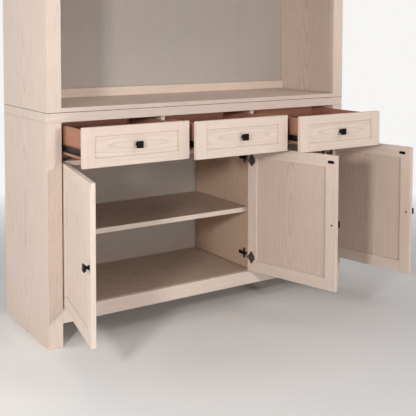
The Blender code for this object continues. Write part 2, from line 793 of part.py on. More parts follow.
def hinge_point(number, from_edge, from_back):
    """Place in the cabinet's frame of a point that is given at the closed door's corner."""
    side = HINGE_SIDES[number - 1]
    return Vector((hinge_edge(number) + side * from_edge, FRONT_THICKNESS + from_back))


def arm_pin(number):
    return hinge_point(number, ARM_PIN_FROM_EDGE, ARM_PIN_FROM_BACK)


def cup_pin(number):
    return hinge_point(number, CUP_PIN_FROM_EDGE, CUP_PIN_FROM_BACK)


def join_outline(thing, label, points, depth, location, parent, operation="UNION"):
    cut(thing, outline_mesh(thing.name + label, points, depth, location, ALONG_Z, parent, None,
                            CUTTERS), operation)


def add_neck(thing, number, z):
    """Bent neck from the arm's nose to a pivot pin across the door's cup."""
    side = HINGE_SIDES[number - 1]
    pivot = (hinge_edge(number) + side * PIVOT_FROM_EDGE, PIVOT_DEPTH, z)
    strip = [(side * a, b) for a, b in neck_outline(number)]
    join_outline(thing, "_neck", strip, NECK_WIDTH, pivot, CABINET)
    length = 2 * pin_half_length(PIVOT_FROM_EDGE)
    join_outline(thing, "_pin", circle(PIN_RADIUS), length, pivot, CABINET)


def add_cheeks(thing, number, z):
    """Two cheeks from the arm's nose that hold the link's pin between them."""
    pin = arm_pin(number)
    root_toward = arm_top(number) - ARM_HEIGHT / 2
    root = hinge_point(number, root_toward, ARM_NEAR + CHEEK_ROOT_FROM_NEAR)
    knee = hinge_point(number, CHEEK_KNEE_FROM_EDGE, CHEEK_KNEE_FROM_BACK)
    strip = strip_outline((root, knee, pin), CHEEK_WIDTH, PIN_SIDES // 2)
    offset = NECK_WIDTH / 2 + FIT + CHEEK_THICKNESS / 2
    for label, height in (("_cheek_below", z - offset), ("_cheek_above", z + offset)):
        join_outline(thing, label, strip, CHEEK_THICKNESS, (0.0, 0.0, height), CABINET)
    join_outline(thing, "_pin_holes", circle(PIN_RADIUS + FIT, pin), 2 * ARM_WIDTH,
                 (0.0, 0.0, z), CABINET, "DIFFERENCE")


def build_link(name, number, z, parent):
    """Hooked link that passes round the door's hinge edge, with a pin at either end."""
    pin = arm_pin(number)
    first = hinge_point(number, ARM_PIN_FROM_EDGE - LINK_BEND_FROM_ARM_PIN,
                        LINK_BEND_FROM_BACK) - pin
    second = hinge_point(number, CUP_PIN_FROM_EDGE - LINK_BEND_FROM_CUP_PIN,
                         LINK_BEND_FROM_BACK) - pin
    end = cup_pin(number) - pin
    start = Vector((0.0, 0.0))
    thing = outline_mesh(name, strip_outline((start, first, second, end), LINK_THICKNESS),
                         NECK_WIDTH, (0.0, 0.0, z), ALONG_Z, parent, None)
    thing.data.materials.append(steel(name))
    place = (0.0, 0.0, z)
    pin_length = NECK_WIDTH + 2 * (FIT + CHEEK_THICKNESS)
    eye = circle(LINK_EYE_RADIUS, first=math.pi / PIN_SIDES)
    join_outline(thing, "_eye", eye, NECK_WIDTH - 2 * FIT, place, parent)
    join_outline(thing, "_arm_pin", circle(PIN_RADIUS), pin_length, place, parent)
    join_outline(thing, "_cup_pin", circle(PIN_RADIUS, end),
                 2 * pin_half_length(CUP_PIN_FROM_EDGE), place, parent)


def build_arm(name, number, z):
    """Mounting plate and arm in one piece, fixed to the cabinet."""
    side = HINGE_SIDES[number - 1]
    face = mount_face(number)
    near = FRONT_THICKNESS + PLATE_NEAR
    arm_near = FRONT_THICKNESS + ARM_NEAR

    def block(label, from_face, to_face, low, length, width, bevel, collection):
        across = sorted((face + side * from_face, face + side * to_face))
        return box(label, (across[0], low, z - width / 2), (across[1], low + length, z + width / 2),
                   CABINET, None, bevel=bevel, collection=collection)

    top = FIT + PLATE_THICKNESS
    thing = block(name, FIT, top, near, PLATE_LENGTH, PLATE_WIDTH, PLATE_BEVEL, PARTS)
    thing.data.materials.append(steel(name))
    cut(thing, block(name + "_wings", FIT + PLATE_WING_STEP, top - PLATE_WING_STEP,
                     near + PLATE_WING_FROM_NEAR, PLATE_WING_WIDTH, PLATE_WING_HEIGHT,
                     PLATE_BEVEL, CUTTERS), "UNION")
    cut(thing, block(name + "_body", FIT + PLATE_THICKNESS / 2, top + ARM_HEIGHT, arm_near,
                     ARM_LENGTH, ARM_WIDTH, ARM_BEVEL, CUTTERS), "UNION")
    if number == LINKED_DOOR:
        add_cheeks(thing, number, z)
    else:
        add_neck(thing, number, z)


def door_axis(number):
    """Empty on the door's pivot at rest, and the door's closed frame under it."""
    side = HINGE_SIDES[number - 1]
    swing = DOOR_SWINGS[number - 1]
    if number == LINKED_DOOR:
        start = arm_pin(number)
        pivot = cup_pin(number)
        link = empty(f"door_{number}_link_axis", (*start, 0.0), CABINET,
                     side * math.radians(LINK_TURN))
        axis = empty(f"door_{number}_axis", (*(pivot - start), 0.0), link,
                     -side * math.radians(swing + LINK_TURN))
        for label, z in hinge_heights():
            build_link(f"door_{number}_hinge_link_{label}", number, z, link)
    else:
        pivot = Vector((hinge_edge(number) + side * PIVOT_FROM_EDGE, PIVOT_DEPTH))
        axis = empty(f"door_{number}_axis", (*pivot, 0.0), CABINET, -side * math.radians(swing))
    return empty(f"door_{number}_closed_frame", (*-pivot, 0.0), axis)


def build_door(number):
    side = HINGE_SIDES[number - 1]
    edge = hinge_edge(number)
    closed = door_axis(number)
    left = front_left(number)
    leaf = build_front(f"door_{number}_leaf", left, DOOR_LOW, DOOR_HIGH, DOOR_FRAME_RAIL,
                       closed, True)
    cup_x = edge + side * CUP_CENTRE
    for label, z in hinge_heights():
        cut(leaf, cup_bore(f"door_{number}_{label}_bore", cup_x, z, closed))
        build_cup(f"door_{number}_hinge_cup_{label}", cup_x, z, closed)
        build_arm(f"door_{number}_hinge_arm_{label}", number, z)
    knob_x = edge + side * (FRONT_WIDTH - DOOR_KNOB_FROM_FREE_EDGE)
    knob_z = (DOOR_LOW + DOOR_HIGH) / 2 - DOOR_KNOB_BELOW_MIDDLE
    build_knob(f"door_{number}_knob", knob_x, knob_z, DOOR_KNOB_REACH, closed)


build_ends()
build_base_top()
build_bottom_rail()
build_deck()
build_mid_rail()
build_divider()
build_partition()
build_back()
build_shelves()
build_hutch()
for bay_number in (1, 2, 3):
    build_drawer(bay_number)
    build_door(bay_number)
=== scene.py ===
"""Looks of the hutch cabinet: limed oak, grey and taupe inner boards, dark steel, black knobs.

Grain and small fittings are laid out in the closed frame: x along the front from the left
end's outer face, y from the front plane into the cabinet, z up, with everything shut.
"""

import json
import math

import bmesh
import bpy
from mathutils import Matrix, Vector

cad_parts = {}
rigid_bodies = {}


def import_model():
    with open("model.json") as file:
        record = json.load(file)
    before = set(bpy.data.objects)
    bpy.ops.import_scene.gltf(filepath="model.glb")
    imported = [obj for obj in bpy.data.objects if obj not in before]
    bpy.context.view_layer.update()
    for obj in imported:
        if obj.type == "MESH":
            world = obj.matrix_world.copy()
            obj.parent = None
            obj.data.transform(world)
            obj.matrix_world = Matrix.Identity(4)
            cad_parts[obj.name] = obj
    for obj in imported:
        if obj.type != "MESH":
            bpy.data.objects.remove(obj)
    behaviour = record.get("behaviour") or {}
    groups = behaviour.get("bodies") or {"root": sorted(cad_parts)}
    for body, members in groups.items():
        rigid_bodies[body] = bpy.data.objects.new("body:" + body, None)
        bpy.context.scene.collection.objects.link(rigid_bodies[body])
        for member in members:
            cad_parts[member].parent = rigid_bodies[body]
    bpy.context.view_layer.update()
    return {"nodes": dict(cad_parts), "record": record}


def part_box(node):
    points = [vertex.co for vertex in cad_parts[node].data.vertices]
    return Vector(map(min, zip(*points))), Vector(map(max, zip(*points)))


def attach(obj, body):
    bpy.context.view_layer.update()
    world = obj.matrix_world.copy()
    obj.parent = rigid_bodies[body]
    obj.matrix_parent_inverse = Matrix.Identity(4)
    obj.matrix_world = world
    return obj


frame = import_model()
record = frame["record"]
nodes = frame["nodes"]
BODY_OF = {name: body for body, names in record["behaviour"]["bodies"].items() for name in names}


# Closed frame

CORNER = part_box("base_end_left")[0]
ORIGIN = Vector((-CORNER.x, -CORNER.y, 0.0))


def to_closed(body):
    """Matrix that takes a body's points at rest to the closed frame."""
    joints = {joint["child"]: joint for joint in record["behaviour"]["joints"]}
    matrix = Matrix.Identity(4)
    while body in joints:
        joint = joints[body]
        axis = Vector(joint["axis"])
        if joint["type"] == "slide":
            step = Matrix.Translation(axis * joint["range_m"][0])
        else:
            pivot = Matrix.Translation(joint["pos_m"])
            turn = Matrix.Rotation(math.radians(joint["range_deg"][0]), 4, axis)
            step = pivot @ turn @ pivot.inverted()
        matrix = step @ matrix
        body = joint["parent"]
    return Matrix.Translation(ORIGIN) @ matrix


def closed_box(name):
    """Corners in the closed frame of a node that is fixed or only slides."""
    matrix = to_closed(BODY_OF[name])
    return [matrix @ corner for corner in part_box(name)]


def front_edges(number):
    """Left and right edge of a drawer front, and so of the door under it."""
    low, high = closed_box(f"drawer_{number}_front")
    return low.x, high.x


# Node trees

# Sockets of the Mix node for each kind of data: first input, second input, output
MIX_SOCKETS = {"RGBA": (6, 7, 2), "VECTOR": (4, 5, 1)}

# Distance from ring to ring in a Wave node of scale 1
WAVE_PERIOD = math.tau / 20.0
RING_DISTORTION = 3.5
RING_DETAIL = 3.0
RING_DETAIL_SCALE = 0.8

# Ambient occlusion on an open face and deep in a groove
OPEN_FACE = 0.85
DEEP_GROOVE = 0.25

# Cosine between the real and the rounded normal at which an edge counts as full
FULL_EDGE = 0.8


def srgb(red, green, blue):
    """A colour written as on a screen, 0 to 255, for a shader socket."""
    def linear(value):
        value /= 255.0
        return value / 12.92 if value <= 0.04045 else ((value + 0.055) / 1.055) ** 2.4
    return (linear(red), linear(green), linear(blue), 1.0)


class Nodes:
    """Short names for building one material's node tree."""

    def __init__(self, name):
        self.material = bpy.data.materials.new(name)
        self.material.use_nodes = True
        self.tree = self.material.node_tree
        self.shader = self.tree.nodes["Principled BSDF"]

    def add(self, kind, **settings):
        node = self.tree.nodes.new(kind)
        for key, value in settings.items():
            setattr(node, key, value)
        return node

    def put(self, value, socket):
        if isinstance(value, bpy.types.NodeSocket):
            self.tree.links.new(value, socket)
        else:
            socket.default_value = value

    def shade(self, label, value):
        self.put(value, self.shader.inputs[label])

    def math(self, operation, a, b):
        node = self.add("ShaderNodeMath", operation=operation)
        self.put(a, node.inputs[0])
        self.put(b, node.inputs[1])
        return node.outputs[0]

    def times(self, a, b):
        return self.math("MULTIPLY", a, b)

    def mapped(self, vector, scale, shift, turn=(0.0, 0.0, 0.0)):
        node = self.add("ShaderNodeMapping")
        self.put(vector, node.inputs["Vector"])
        self.put(scale, node.inputs["Scale"])
        self.put(shift, node.inputs["Location"])
        self.put(turn, node.inputs["Rotation"])
        return node.outputs[0]

    def closed_frame(self, body):
        matrix = to_closed(body)
        coordinates = self.add("ShaderNodeTexCoord").outputs["Object"]
        return self.mapped(coordinates, (1.0, 1.0, 1.0), matrix.translation, matrix.to_euler())

    def noise(self, vector, scale, detail, roughness, distortion):
        node = self.add("ShaderNodeTexNoise")
        self.put(vector, node.inputs["Vector"])
        self.put(scale, node.inputs["Scale"])
        self.put(detail, node.inputs["Detail"])
        self.put(roughness, node.inputs["Roughness"])
        self.put(distortion, node.inputs["Distortion"])
        return node.outputs["Fac"]

    def rings(self, vector, spacing):
        """Growth rings as a saw-tooth from 0 to 1 across each ring."""
        node = self.add("ShaderNodeTexWave", wave_type="RINGS", rings_direction="SPHERICAL",
                        wave_profile="SAW")
        self.put(vector, node.inputs["Vector"])
        self.put(WAVE_PERIOD / spacing, node.inputs["Scale"])
        self.put(RING_DISTORTION, node.inputs["Distortion"])
        self.put(RING_DETAIL, node.inputs["Detail"])
        self.put(RING_DETAIL_SCALE, node.inputs["Detail Scale"])
        return node.outputs["Fac"]

    def span(self, value, low, high, to_low=0.0, to_high=1.0):
        """The value with low..high mapped to to_low..to_high and clamped there."""
        node = self.add("ShaderNodeMapRange")
        self.put(value, node.inputs["Value"])
        self.put(low, node.inputs["From Min"])
        self.put(high, node.inputs["From Max"])
        self.put(to_low, node.inputs["To Min"])
        self.put(to_high, node.inputs["To Max"])
        return node.outputs[0]

    def mix(self, factor, a, b, kind="RGBA"):
        node = self.add("ShaderNodeMix", data_type=kind)
        first, second, out = MIX_SOCKETS[kind]
        self.put(factor, node.inputs[0])
        self.put(a, node.inputs[first])
        self.put(b, node.inputs[second])
        return node.outputs[out]

    def tint(self, mask, strength, colour, tone):
        """The colour drawn toward a tone where the mask lies, up to a strength."""
        return self.mix(self.times(mask, strength), colour, tone)

    def split(self, vector):
        node = self.add("ShaderNodeSeparateXYZ")
        self.put(vector, node.inputs[0])
        return node.outputs

    def inside(self, value, low, high):
        """1 between two limits and 0 outside them."""
        above = self.math("GREATER_THAN", value, low)
        return self.times(above, self.math("LESS_THAN", value, high))

    def before(self, where, depth):
        """1 nearer to the front plane than a depth and 0 behind it."""
        return self.math("LESS_THAN", self.split(where)[1], depth)

    def bump(self, height, distance, strength):
        node = self.add("ShaderNodeBump")
        self.put(height, node.inputs["Height"])
        self.put(distance, node.inputs["Distance"])
        self.put(strength, node.inputs["Strength"])
        self.shade("Normal", node.outputs[0])

    def crevices(self, reach):
        """How deep the surface lies in a groove or corner: 0 in the open, 1 shut in."""
        node = self.add("ShaderNodeAmbientOcclusion", samples=6)
        self.put(reach, node.inputs["Distance"])
        return self.span(node.outputs["AO"], OPEN_FACE, DEEP_GROOVE)

    def edges(self, radius):
        """How close the surface lies to an edge: 0 on the flat, 1 on the corner."""
        rounded = self.add("ShaderNodeBevel", samples=4)
        self.put(radius, rounded.inputs["Radius"])
        flat = self.add("ShaderNodeNewGeometry")
        dot = self.add("ShaderNodeVectorMath", operation="DOT_PRODUCT")
        self.put(rounded.outputs[0], dot.inputs[0])
        self.put(flat.outputs["Normal"], dot.inputs[1])
        return self.span(dot.outputs["Value"], 1.0, FULL_EDGE)


# Tones: light, middle and dark for wood, one for the rest

OAK = (srgb(229, 213, 201), srgb(219, 201, 187), srgb(184, 158, 139))
VENEER = (srgb(219, 192, 170), srgb(208, 179, 156), srgb(167, 132, 108))
TAUPE = (srgb(202, 182, 165), srgb(188, 166, 149), srgb(136, 112, 95))
GREY_BACK = (srgb(188, 182, 175), srgb(181, 174, 167), srgb(166, 156, 147))
# A darker copy of the grey back board: painted shade for the back inside the base
SHADED_BACK = (srgb(170, 162, 154), srgb(163, 154, 146), srgb(148, 137, 128))
CEDAR = (srgb(181, 131, 111), srgb(166, 116, 97), srgb(129, 82, 65))
INNER_PANEL = srgb(196, 160, 138)
JOINT_SHADE = (0.030, 0.024, 0.020, 1.0)
NICKEL = srgb(190, 186, 180)
BRONZE = srgb(124, 113, 102)
BLACK = srgb(8, 8, 8)
SLIDE_BLACK = srgb(56, 55, 54)
HINGE_BLACK = srgb(46, 43, 41)
SMUDGE_TONE = srgb(96, 94, 92)
RUBBED_TONE = srgb(140, 138, 135)

# Casts laid over a tone: the pink of some bands, and the painted shade in the grooves
PINK_CAST = (1.0, 0.86, 0.80, 1.0)
GROOVE_SHADE_CAST = (0.45, 0.45, 0.45, 1.0)


def cast(tone, factors):
    return tuple(part * factor for part, factor in zip(tone, factors))


# Wood

# Members of the five-piece fronts
FRONT_STILE = 0.051
DOOR_RAIL = 0.051
DRAWER_RAIL = 0.036
SEAM_HALF_WIDTH = 0.0004
PANEL_MIDDLE = 0.009

# The ends' front stiles, which show no ring figure
STILE_FACE_DEPTH = 0.0225

# Painted shadow along the joint between base and hutch
JOINT_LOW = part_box("base_top")[1].z - 0.0010
JOINT_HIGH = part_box("hutch_deck")[0].z + 0.0010

# How much a board's pattern is drawn out along its length, and the spacing of its rings
GRAIN_STRETCH = 0.045
RING_STRETCH = 0.12
RING_SPACING = 0.016

# Steps from a board's seed to the place of its grain, and to those of a front's members
SEED_STEPS = (1.37, 2.71, 0.93)
SEED_WRAP = 5.0
PANEL_SEED = 3.3
RAIL_SEED = 6.1

# Noises: scale, detail, roughness, distortion
FIBRE = (260.0, 7.0, 0.62, 0.2)
STREAKS = (90.0, 4.0, 0.55, 0.5)
PORES = (640.0, 2.0, 0.5, 0.0)
BANDS = (15.0, 2.0, 0.5, 0.0)
PATCHES = (3.1, 3.0, 0.5, 0.0)

# Values of a noise, or of the rings, between which it fades in
FIBRE_SPAN = (0.36, 0.66)
STREAK_SPAN = (0.50, 0.72)
PORE_SPAN = (0.58, 0.68)
BAND_SPAN = (0.42, 0.64)
PATCH_SPAN = (0.40, 0.62)
PALE_EDGE_SPAN = (0.35, 0.60)
RING_SPAN = (0.70, 1.0)
FINISH_SPAN = (0.3, 0.7)

# Strength of each tint at contrast 1
STREAK_TINT = 0.20
FIGURE_TINT = 0.50
PORE_TINT = 0.24
PATCH_TINT = 0.30
BAND_TINT = 0.30
SEAM_TINT = 0.6
INNER_TINT = 0.28
PALE_EDGE_TINT = 0.35
# The joint tint is a painted shadow in the joint between base and hutch
JOINT_TINT = 0.85
# The groove tint is painted shade in grooves, corners and gaps
GROOVE_SHADE_TINT = 0.55

# Surface
EDGE_RADIUS = 0.0016
GROOVE_REACH = 0.006
WOOD_ROUGHNESS = 0.58
CEDAR_ROUGHNESS = 0.5
ROUGHER = 0.07
SMOOTHER = 0.05
PORE_ROUGHNESS = 0.12
FIBRE_HEIGHT = 0.5
PORE_DEPTH = 0.6
GRAIN_BUMP_DISTANCE = 0.0005
GRAIN_BUMP_STRENGTH = 0.45
WOOD_SPECULAR = 0.35


def stretched(axis, factor):
    return tuple(factor if name == axis else 1.0 for name in "XYZ")


def grain_of(build, where, axis, seed):
    offset = tuple(seed * step % SEED_WRAP for step in SEED_STEPS)
    return build.mapped(where, stretched(axis, GRAIN_STRETCH), offset)


def ring_lines(build, where, axis, heart):
    """Dark late wood at the end of each ring, in arches about a point of the board."""
    scale = stretched(axis, RING_STRETCH)
    shift = [-place * size for place, size in zip(heart, scale)]
    rings = build.rings(build.mapped(where, scale, shift), RING_SPACING)
    return build.span(rings, *RING_SPAN)


class Front:
    """Where the panel and the rails of a five-piece front lie."""

    def __init__(self, left, right, low, high, rail, panel_axis):
        self.left = left + FRONT_STILE
        self.right = right - FRONT_STILE
        self.low = low + rail
        self.high = high - rail
        self.panel_axis = panel_axis
        self.heart = ((self.left + self.right) / 2, 0.0, (self.low + self.high) / 2)


def front_masks(build, where, front):
    """Masks of the panel, the rails, the seams and the panel's inner side."""
    x, y, z = build.split(where)
    between = build.inside(x, front.left, front.right)
    panel = build.times(between, build.inside(z, front.low, front.high))
    rails = build.math("SUBTRACT", between, panel)
    seams = [build.inside(x, edge - SEAM_HALF_WIDTH, edge + SEAM_HALF_WIDTH)
             for edge in (front.left, front.right)]
    inner = build.times(panel, build.math("GREATER_THAN", y, PANEL_MIDDLE))
    return panel, rails, build.math("ADD", *seams), inner


def front_grain(build, where, grain, seed, front, panel, rails):
    """The stiles' grain, with the panel's and the rails' laid in."""
    panel_grain = grain_of(build, where, front.panel_axis, seed + PANEL_SEED)
    rail_grain = grain_of(build, where, "X", seed + RAIL_SEED)
    grain = build.mix(panel, grain, panel_grain, "VECTOR")
    return build.mix(rails, grain, rail_grain, "VECTOR")


def wood(name, body, axis, seed, tones, heart, front=None, contrast=1.0,
         finish=WOOD_ROUGHNESS, figured=1.0, banded_before=None):
    """Oak with fibre, pores, ring figure and edges drawn lighter in streaks, with painted shade
    in its grooves and corners and, on the cabinet, a painted shadow along the joint between base
    and hutch. Tones are light, middle and dark.

    Heart is the point in the closed frame that the arches of the figure run round. What
    lies before y = banded_before is an edge band in the pale oak of the fronts.
    """
    build = Nodes(name)
    where = build.closed_frame(body)
    grain = grain_of(build, where, axis, seed)
    if front:
        panel, rails, seams, inner = front_masks(build, where, front)
        grain = front_grain(build, where, grain, seed, front, panel, rails)
        figure = build.times(panel, ring_lines(build, where, front.panel_axis, heart))
    else:
        behind = build.math("GREATER_THAN", build.split(where)[1], STILE_FACE_DEPTH)
        figure = build.times(ring_lines(build, where, axis, heart),
                             build.times(behind, figured))
    light, middle, dark = tones
    fibre = build.noise(grain, *FIBRE)
    streaks = build.noise(grain, *STREAKS)
    pores = build.span(build.noise(grain, *PORES), *PORE_SPAN)
    bands = build.span(build.noise(grain, *BANDS), *BAND_SPAN)
    patches = build.span(build.noise(where, *PATCHES), *PATCH_SPAN)
    fibre_shows = build.span(fibre, *FIBRE_SPAN)

    colour = build.mix(fibre_shows, middle, light)
    colour = build.tint(build.span(streaks, *STREAK_SPAN), STREAK_TINT * contrast, colour, dark)
    colour = build.tint(figure, FIGURE_TINT * contrast, colour, dark)
    colour = build.tint(pores, PORE_TINT * contrast, colour, dark)
    colour = build.tint(patches, PATCH_TINT, colour, light)
    colour = build.tint(bands, BAND_TINT, colour, cast(light, PINK_CAST))
    if front:
        colour = build.tint(seams, SEAM_TINT, colour, dark)
        colour = build.tint(inner, INNER_TINT, colour, INNER_PANEL)
    if banded_before is not None:
        oak = build.mix(fibre_shows, OAK[1], OAK[0])
        colour = build.mix(build.before(where, banded_before), colour, oak)
    # Edges drawn lighter in streaks
    pale_edges = build.times(build.edges(EDGE_RADIUS), build.span(streaks, *PALE_EDGE_SPAN))
    colour = build.tint(pale_edges, PALE_EDGE_TINT, colour, light)
    # Painted shadow: a dark line along the joint between base and hutch
    if body == "cabinet":
        joint = build.inside(build.split(where)[2], JOINT_LOW, JOINT_HIGH)
        colour = build.tint(joint, JOINT_TINT, colour, JOINT_SHADE)
    # Painted shade: grooves, corners and gaps drawn darker where ambient occlusion finds them
    groove_shade = build.crevices(GROOVE_REACH)
    colour = build.tint(groove_shade, GROOVE_SHADE_TINT, colour, cast(dark, GROOVE_SHADE_CAST))
    build.shade("Base Color", colour)

    fibre_rough = build.span(fibre, *FINISH_SPAN, finish + ROUGHER, finish - SMOOTHER)
    build.shade("Roughness", build.math("ADD", fibre_rough, build.times(pores, PORE_ROUGHNESS)))
    height = build.math("SUBTRACT", build.times(fibre, FIBRE_HEIGHT),
                        build.times(pores, PORE_DEPTH))
    build.bump(height, GRAIN_BUMP_DISTANCE, GRAIN_BUMP_STRENGTH * contrast)
    build.shade("Specular IOR Level", WOOD_SPECULAR)
    return build.material


# Metal

# Coated metals: tone, metallic, roughness, specular level, and how much their edges are rubbed
METALS = {
    "knob": (BLACK, 0.0, 0.42, 0.10, 0.05),
    "slide": (SLIDE_BLACK, 0.85, 0.34, 0.5, 0.12),
    "link": (NICKEL, 0.95, 0.3, 0.5, 0.12),
    "arm": (HINGE_BLACK, 0.8, 0.36, 0.5, 0.12),
    "cup": (BRONZE, 0.6, 0.36, 0.5, 0.12),
    "screw": (HINGE_BLACK, 0.85, 0.3, 0.5, 0.12),
    "catch": (BLACK, 0.7, 0.35, 0.5, 0.12)}

# The bare nickel nose of a hinge arm lies before this depth
ARM_BODY_FRONT = 0.034

SMUDGES = (24.0, 4.0, 0.6, 0.0)
SMUDGE_SPAN = (0.35, 0.7)
SMUDGE_TINT = 0.08
RUBBED_RADIUS = 0.0012
SHEEN_SPAN = (0.3, 0.7)
POLISHED = 0.06
DULLED = 0.10
ORANGE_PEEL = (900.0, 2.0, 0.55, 0.0)
PEEL_BUMP_DISTANCE = 0.0001
PEEL_BUMP_STRENGTH = 0.2


def metal(name, body, kind):
    """Coated metal with faint orange peel, smudges and rubbed edges."""
    tone, metallic, roughness, specular, rubbed = METALS[kind]
    build = Nodes(name)
    where = build.closed_frame(body)
    smudge = build.noise(where, *SMUDGES)
    colour = build.tint(build.span(smudge, *SMUDGE_SPAN), SMUDGE_TINT, tone, SMUDGE_TONE)
    colour = build.tint(build.edges(RUBBED_RADIUS), rubbed, colour, RUBBED_TONE)
    if kind == "arm":
        colour = build.mix(build.before(where, ARM_BODY_FRONT), colour, NICKEL)
    build.shade("Base Color", colour)
    build.shade("Roughness", build.span(smudge, *SHEEN_SPAN, roughness - POLISHED,
                                        roughness + DULLED))
    build.bump(build.noise(where, *ORANGE_PEEL), PEEL_BUMP_DISTANCE, PEEL_BUMP_STRENGTH)
    build.shade("Metallic", metallic)
    build.shade("Specular IOR Level", specular)
    return build.material


# Dressing of the nodes

# Boards of the cabinet: grain axis, tones, contrast
BOARDS = {
    "base_end_left": ("Z", OAK, 1.0), "base_end_right": ("Z", OAK, 1.0),
    "hutch_end_left": ("Z", OAK, 1.0), "hutch_end_right": ("Z", OAK, 1.0),
    "base_top": ("X", OAK, 1.0), "bottom_rail": ("X", OAK, 1.0), "mid_rail": ("X", OAK, 1.0),
    "drawer_divider": ("Z", OAK, 1.0), "partition": ("Z", VENEER, 0.9),
    "hutch_deck": ("X", OAK, 1.0), "hutch_back_rail": ("X", OAK, 1.0),
    "hutch_shelf": ("X", OAK, 1.0), "hutch_top": ("X", OAK, 1.0),
    "hutch_back": ("Z", GREY_BACK, 0.3), "base_back": ("X", SHADED_BACK, 0.3),
    "deck": ("X", TAUPE, 1.6), "shelf_left": ("X", TAUPE, 1.6), "shelf_right": ("X", TAUPE, 1.6)}
BANDED = ("partition", "shelf_left", "shelf_right")
BAND_DEPTH = 0.0009
PLAIN_GRAIN = ("mid_rail", "drawer_divider", "hutch_back_rail", "partition", "hutch_deck")
FIRST_SEED = 1.0
NODE_SEED = 0.77


def dress(name, material):
    for slot in nodes[name].material_slots:
        slot.material = material


def dress_board(name, seed):
    axis, tones, contrast = BOARDS[name]
    low, high = closed_box(name)
    band = low.y + BAND_DEPTH if name in BANDED else None
    figured = 0.0 if name in PLAIN_GRAIN else 1.0
    dress(name, wood(name + "_look", "cabinet", axis, seed, tones, (low + high) / 2,
                     contrast=contrast, figured=figured, banded_before=band))


def dress_front(name, seed):
    number = int(name.split("_")[1])
    is_door = name.endswith("_leaf")
    low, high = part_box(name)
    rail = DOOR_RAIL if is_door else DRAWER_RAIL
    front = Front(*front_edges(number), low.z, high.z, rail, "Z" if is_door else "X")
    dress(name, wood(name + "_look", BODY_OF[name], "Z", seed, OAK, front.heart, front))


def dress_box(name, seed):
    low, high = closed_box(name)
    dress(name, wood(name + "_look", BODY_OF[name], "Y", seed, CEDAR, (low + high) / 2,
                     finish=CEDAR_ROUGHNESS))


def dress_nodes():
    for index, name in enumerate(sorted(nodes)):
        seed = index * NODE_SEED + FIRST_SEED
        if name in BOARDS:
            dress_board(name, seed)
        elif name.endswith("_front") or name.endswith("_leaf"):
            dress_front(name, seed)
        elif name.endswith("_box"):
            dress_box(name, seed)
        else:
            kind = next(kind for kind in METALS if kind in name.split("_"))
            dress(name, metal(name + "_look", BODY_OF[name], kind))


dress_nodes()


# Fittings: screw heads and the catch plates on the doors

# A screw head's outline from the middle of its seat, in shares of its radius and height
SCREW_OUTLINE = ((0.0, 0.0), (1.0, 0.0), (1.0, 0.4), (0.85, 0.8), (0.55, 1.0), (0.0, 1.0))
SCREW_RADIUS = 0.0034
SCREW_HEIGHT = 0.0012
SCREW_SIDES = 24
CROSS_REACH = 0.0018
CROSS_HALF_WIDTH = 0.00035
CROSS_DEPTH = 0.0007
KNOB_SCREW_SCALE = 1.2
KNOB_FROM_FREE_EDGE = 0.020
KNOB_BELOW_MIDDLE = 0.007
CATCH_WIDTH = 0.030
CATCH_HEIGHT = 0.012
CATCH_CUT = CATCH_HEIGHT / 5
CATCH_THICKNESS = 0.0014
CATCH_BEVEL = 0.0004
CATCH_SCREW_SCALE = 0.8
CATCH_SCREW_OFFSET = 0.0100
CATCH_FROM_FREE_EDGE = (0.0255, 0.0255, 0.0430)
CATCH_BELOW_TOP = 0.0276
DOOR_BACK = 0.0185
FLANGE_FACE = 0.0200
CUP_FROM_EDGE = 0.0225
CUP_SCREW_OFFSET = 0.0205
WING_FACE = 0.0022
WING_FROM_REAR = 0.038
WING_SCREW_OFFSET = 0.018
MERGE_DISTANCE = 1e-7

# Each door's number, and 1 where it hangs on its left edge or -1 where on its right
DOORS = ((1, 1), (2, -1), (3, -1))
INTO_CABINET = (0, 1, 0)


def new_object(name, data):
    thing = bpy.data.objects.new(name, data)
    bpy.context.scene.collection.objects.link(thing)
    return thing


def lathe(name, profile, steps):
    """Mesh turned about z from (radius, height) pairs that start and end on the axis."""
    mesh = bpy.data.meshes.new(name)
    shape = bmesh.new()
    verts = [shape.verts.new((radius, 0.0, height)) for radius, height in profile]
    edges = [shape.edges.new(pair) for pair in zip(verts, verts[1:])]
    bmesh.ops.spin(shape, geom=verts + edges, axis=(0, 0, 1), cent=(0, 0, 0), angle=math.tau,
                   steps=steps, use_merge=True)
    bmesh.ops.remove_doubles(shape, verts=shape.verts, dist=MERGE_DISTANCE)
    bmesh.ops.recalc_face_normals(shape, faces=shape.faces)
    shape.to_mesh(mesh)
    shape.free()
    return mesh


def extruded(name, outline, low, high):
    """Closed mesh of a flat outline between two heights."""
    mesh = bpy.data.meshes.new(name)
    shape = bmesh.new()
    face = shape.faces.new([shape.verts.new((a, b, low)) for a, b in outline])
    grown = bmesh.ops.extrude_face_region(shape, geom=[face])["geom"]
    raised = [item for item in grown if isinstance(item, bmesh.types.BMVert)]
    bmesh.ops.translate(shape, vec=(0.0, 0.0, high - low), verts=raised)
    bmesh.ops.recalc_face_normals(shape, faces=shape.faces)
    shape.to_mesh(mesh)
    shape.free()
    return mesh


